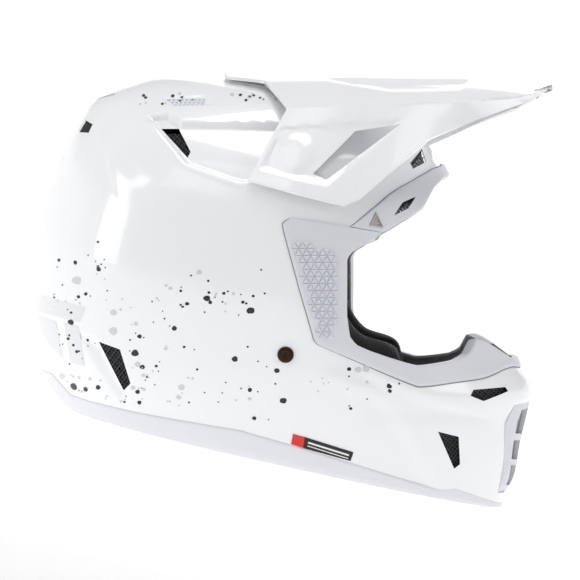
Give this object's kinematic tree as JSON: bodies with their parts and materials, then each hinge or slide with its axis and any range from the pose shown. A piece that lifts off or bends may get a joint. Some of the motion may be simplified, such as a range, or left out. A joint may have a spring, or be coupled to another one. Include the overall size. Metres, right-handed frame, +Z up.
{
  "type": "motocross helmet",
  "caption": "Full-face off-road helmet with an adjustable peak, open eyeport, vented chin bar, removable cheek pads and a D-ring chin strap.",
  "frame": {"origin": "centre of the bounding box, on the flat base edge that the helmet stands on", "axes": "+X to the face opening and the peak's tip, +Y to the wearer's left, +Z up; the helmet stands on its base, so the worn attitude is tipped back 13 degrees"},
  "size_m": [0.363, 0.2462, 0.2964],
  "materials": {
    "shell_white": "clear-coated gloss",
    "peak_white": "moulded gloss",
    "trim_grey": "satin",
    "base_rubber": "satin",
    "liner_foam": "expanded foam bead",
    "padding_black": "brushed mesh fabric",
    "screen_black": "moulded mesh",
    "badge_metal": "brushed",
    "label_black": "printed film",
    "webbing_black": "woven webbing",
    "ring_steel": "polished",
    "rivet_dark": "dark bronze",
    "pivot_plastic": "moulded nylon",
    "tab_orange": "woven tab"
  },
  "bodies": {
    "helmet_shell": {"outer_shell": "shell_white", "crown_liner": "liner_foam", "comfort_liner": "padding_black", "chin_bar_liner": "liner_foam", "chin_bar_pad": "padding_black", "neck_roll": "padding_black", "eyeport_trim": "trim_grey", "brow_trim": "trim_grey", "base_trim": "base_rubber", "brow_badge_left": "badge_metal", "brow_badge_right": "badge_metal", "release_label_left": "label_black", "release_label_right": "label_black", "rear_exhaust_screens": "screen_black", "mouth_grille": "trim_grey", "mouth_screen": "screen_black", "peak_pivot_left": "pivot_plastic", "peak_pivot_right": "pivot_plastic", "strap_rivets": "rivet_dark", "side_exhaust_screen_right": "screen_black", "side_exhaust_screen_left": "screen_black", "rear_low_screen_right": "screen_black", "rear_low_screen_left": "screen_black", "brow_upper_screen_right": "screen_black", "brow_upper_screen_left": "screen_black", "brow_lower_screen_right": "screen_black", "brow_lower_screen_left": "screen_black", "chin_upper_screen_right": "screen_black", "chin_upper_screen_left": "screen_black", "chin_lower_screen_right": "screen_black", "chin_lower_screen_left": "screen_black"},
    "peak": {"peak": "peak_white"},
    "strap_left": {"chin_strap_left": "webbing_black"},
    "strap_right": {"chin_strap_right": "webbing_black"},
    "d_rings": {"d_ring_lower": "ring_steel", "d_ring_upper": "ring_steel"},
    "cheek_pad_left": {"cheek_pad_left": "padding_black", "pull_tab_left": "tab_orange"},
    "cheek_pad_right": {"cheek_pad_right": "padding_black", "pull_tab_right": "tab_orange"}
  },
  "joints": [
    {"name": "peak_tilt", "type": "hinge", "parent": "helmet_shell", "child": "peak", "pos_m": [-0.01711, 0, 0.20747], "axis": [0, -1, 0], "range_deg": [-8, 2]},
    {"name": "strap_left_swing", "type": "hinge", "parent": "helmet_shell", "child": "strap_left", "pos_m": [0.00741, 0, 0.07458], "axis": [0, 1, 0], "range_deg": [-10, 7]},
    {"name": "strap_right_swing", "type": "hinge", "parent": "helmet_shell", "child": "strap_right", "pos_m": [0.00741, 0, 0.07458], "axis": [0, 1, 0], "range_deg": [-10, 7]},
    {"name": "d_ring_lift", "type": "hinge", "parent": "strap_right", "child": "d_rings", "pos_m": [0.00741, -0.046, 0.019], "axis": [1, 0, 0], "range_deg": [0, 70]},
    {"name": "cheek_pad_left_release", "type": "slide", "parent": "helmet_shell", "child": "cheek_pad_left", "axis": [0, -1, 0], "range_m": [0, 0.02]},
    {"name": "cheek_pad_right_release", "type": "slide", "parent": "helmet_shell", "child": "cheek_pad_right", "axis": [0, 1, 0], "range_m": [0, 0.02]}
  ]
}
